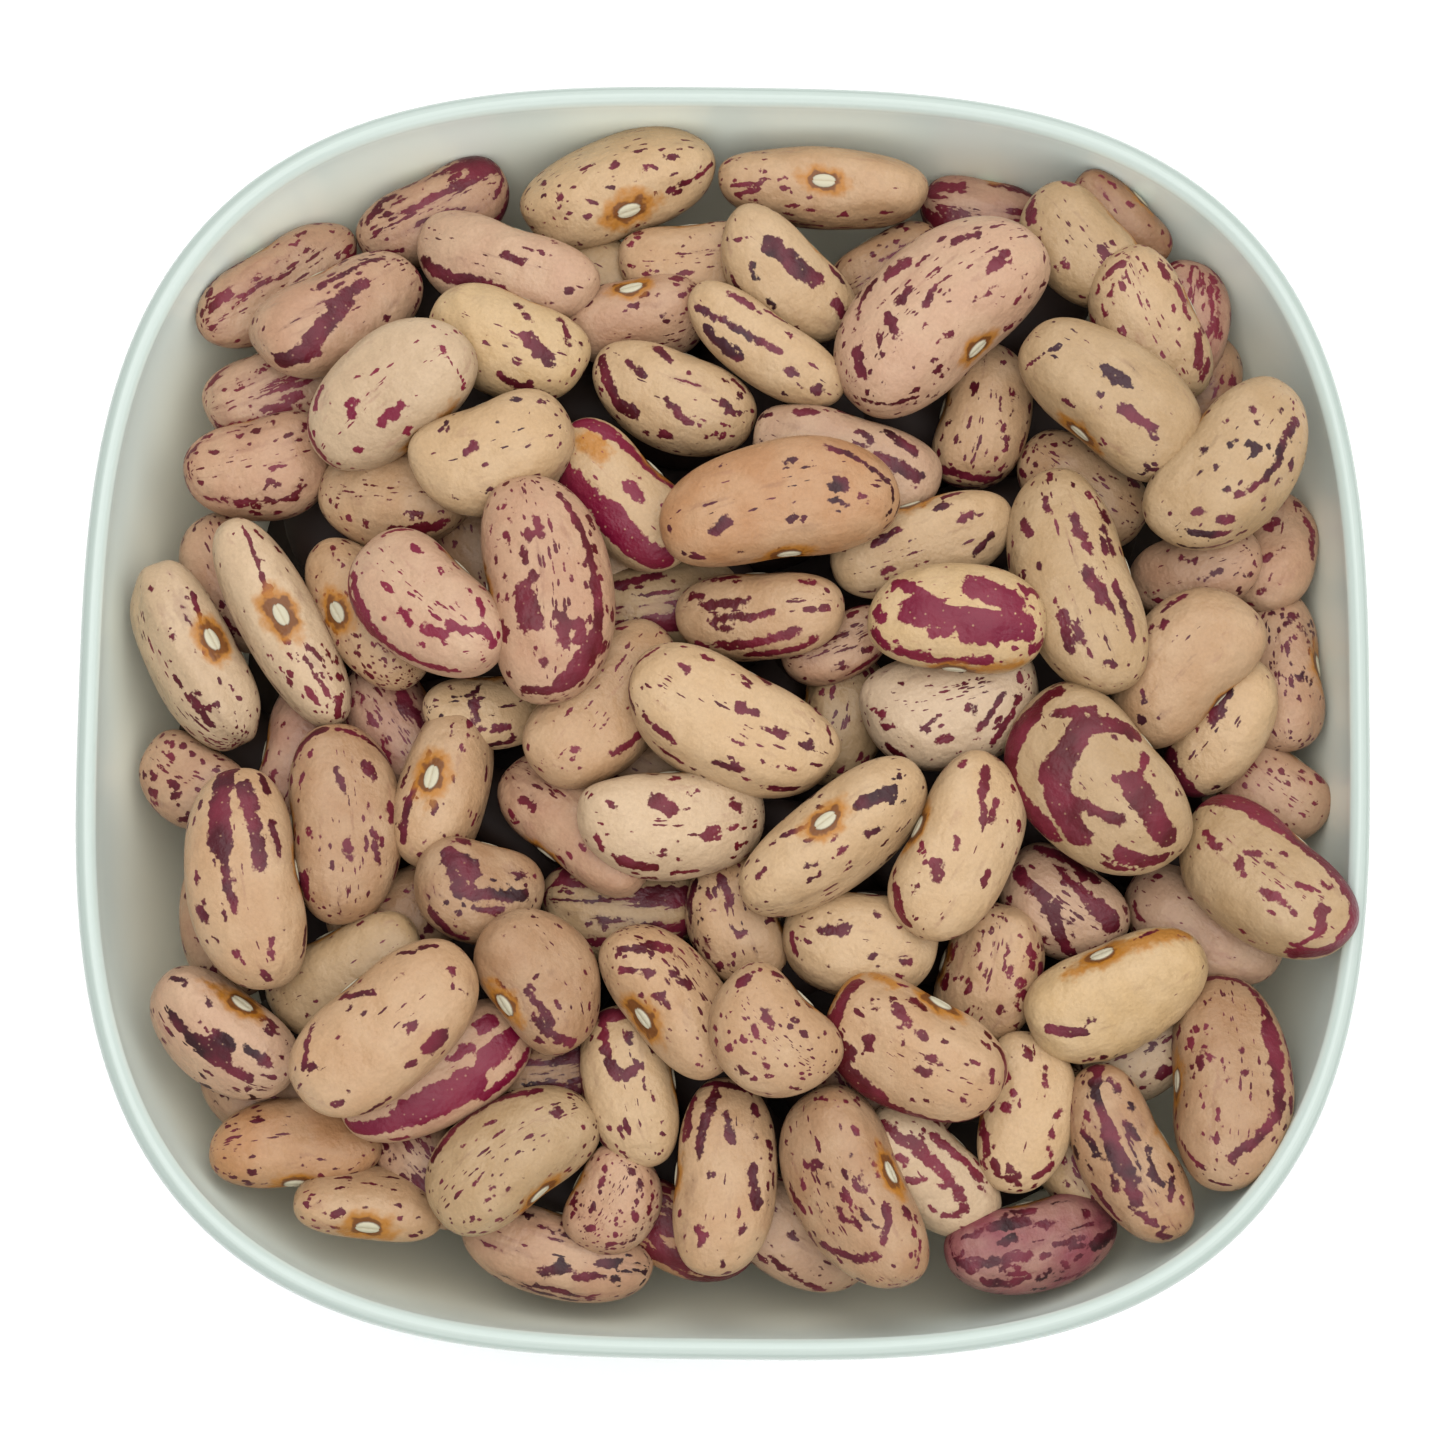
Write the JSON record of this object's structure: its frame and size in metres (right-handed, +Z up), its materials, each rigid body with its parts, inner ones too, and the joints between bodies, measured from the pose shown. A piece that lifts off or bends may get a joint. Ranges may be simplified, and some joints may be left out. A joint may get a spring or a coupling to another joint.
{
  "type": "bowl of dried beans",
  "caption": "Small rounded-square white porcelain bowl on a low foot, heaped just over its rim with dried speckled kidney-shaped beans in cream, tan and pink with plum markings.",
  "frame": {"origin": "under the middle of the foot, on the surface that the bowl stands on", "axes": "+Z up through the bowl's mouth; X and Y run across the flats of the rounded-square rim"},
  "size_m": [0.1, 0.1, 0.0499],
  "materials": {
    "porcelain": "smooth glossy glaze, white with a faint mint tint that gathers at the rim",
    "beans": "satin dried seed coat, cream to pinkish tan, with plum and crimson flecks and streaks"
  },
  "bodies": {
    "root": {"bowl": "porcelain", "beans": "beans"}
  },
  "joints": []
}
